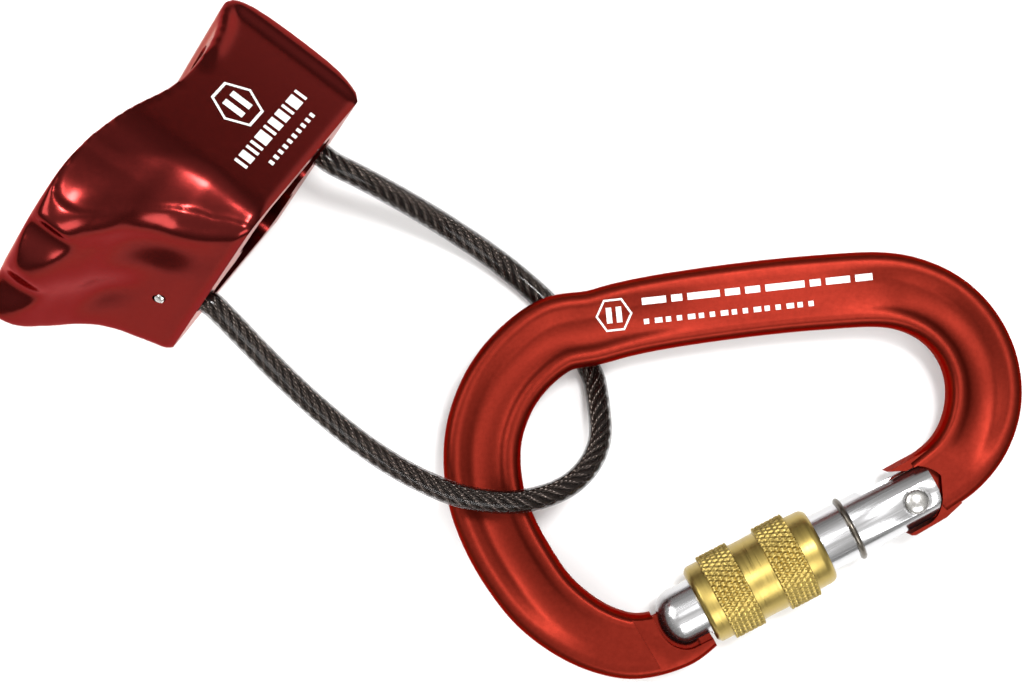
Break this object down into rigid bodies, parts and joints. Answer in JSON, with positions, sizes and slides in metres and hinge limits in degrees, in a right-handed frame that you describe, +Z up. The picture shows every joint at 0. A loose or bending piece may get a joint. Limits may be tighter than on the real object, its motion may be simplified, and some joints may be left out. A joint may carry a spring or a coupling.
{
  "type": "tube belay device with carabiner",
  "caption": "Tube belay device with two rope slots and a toothed brake lip, held by a coated wire loop to a locking carabiner with a sprung gate and screw sleeve.",
  "frame": {"origin": "bottom centre of the whole set as it lies on a flat surface", "axes": "+Z up from the surface; +X along the carabiner, from the tube towards the carabiner's gate hinge; +Y from the gate towards the carabiner's spine"},
  "size_m": [0.1728, 0.1159, 0.0658],
  "materials": {
    "tube_body": "forged, smooth, anodised dark red",
    "cable_rope": "laid steel wire rope, bright",
    "cable_sheath": "thin see-through dark jacket, glossy",
    "front_ferrule": "turned, plain",
    "rear_ferrule": "turned, plain",
    "front_cable_pin": "ground pin, end almost flush",
    "rear_cable_pin": "ground pin, end almost flush",
    "carabiner_frame": "hot forged, tumbled, anodised dark red",
    "gate_tube": "turned and polished, clear",
    "gate_rivet": "domed head, polished",
    "gate_spring": "drawn spring wire",
    "spring_pusher": "turned, plain",
    "stop_ring": "spring wire, bright",
    "screw_sleeve": "turned, two knurled bands"
  },
  "bodies": {
    "belay_device": {"tube_body": "tube_body", "cable_rope": "cable_rope", "cable_sheath": "cable_sheath", "front_ferrule": "front_ferrule", "rear_ferrule": "rear_ferrule", "front_cable_pin": "front_cable_pin", "rear_cable_pin": "rear_cable_pin"},
    "carabiner": {"carabiner_frame": "carabiner_frame", "gate_rivet": "gate_rivet"},
    "gate": {"gate_tube": "gate_tube", "stop_ring": "stop_ring", "gate_spring": "gate_spring"},
    "pusher": {"spring_pusher": "spring_pusher"},
    "sleeve": {"screw_sleeve": "screw_sleeve"}
  },
  "joints": [
    {"name": "carabiner_swing", "type": "hinge", "parent": "belay_device", "child": "carabiner", "pos_m": [0.00066, -0.0184, 0.0087], "axis": [0, -1, 0], "range_deg": [0, 100]},
    {"name": "gate_open", "type": "hinge", "parent": "carabiner", "child": "gate", "pos_m": [0.06776, -0.0271, 0.0087], "axis": [0, 0, -1], "range_deg": [0, 24], "stiffness_Nm_per_rad": 0.3, "springref_deg": -34.38},
    {"name": "pusher_travel", "type": "slide", "parent": "gate", "child": "pusher", "axis": [-0.8878, -0.4602, 0], "range_m": [0, 0.0009], "deforming": ["gate_spring"]},
    {"name": "sleeve_travel", "type": "slide", "parent": "gate", "child": "sleeve", "axis": [0.8878, 0.4602, 0], "range_m": [0, 0.0048]}
  ],
  "couplings": [
    {"joint": "pusher_travel", "follows": "gate_open", "m_per_rad": 0.002148}
  ]
}
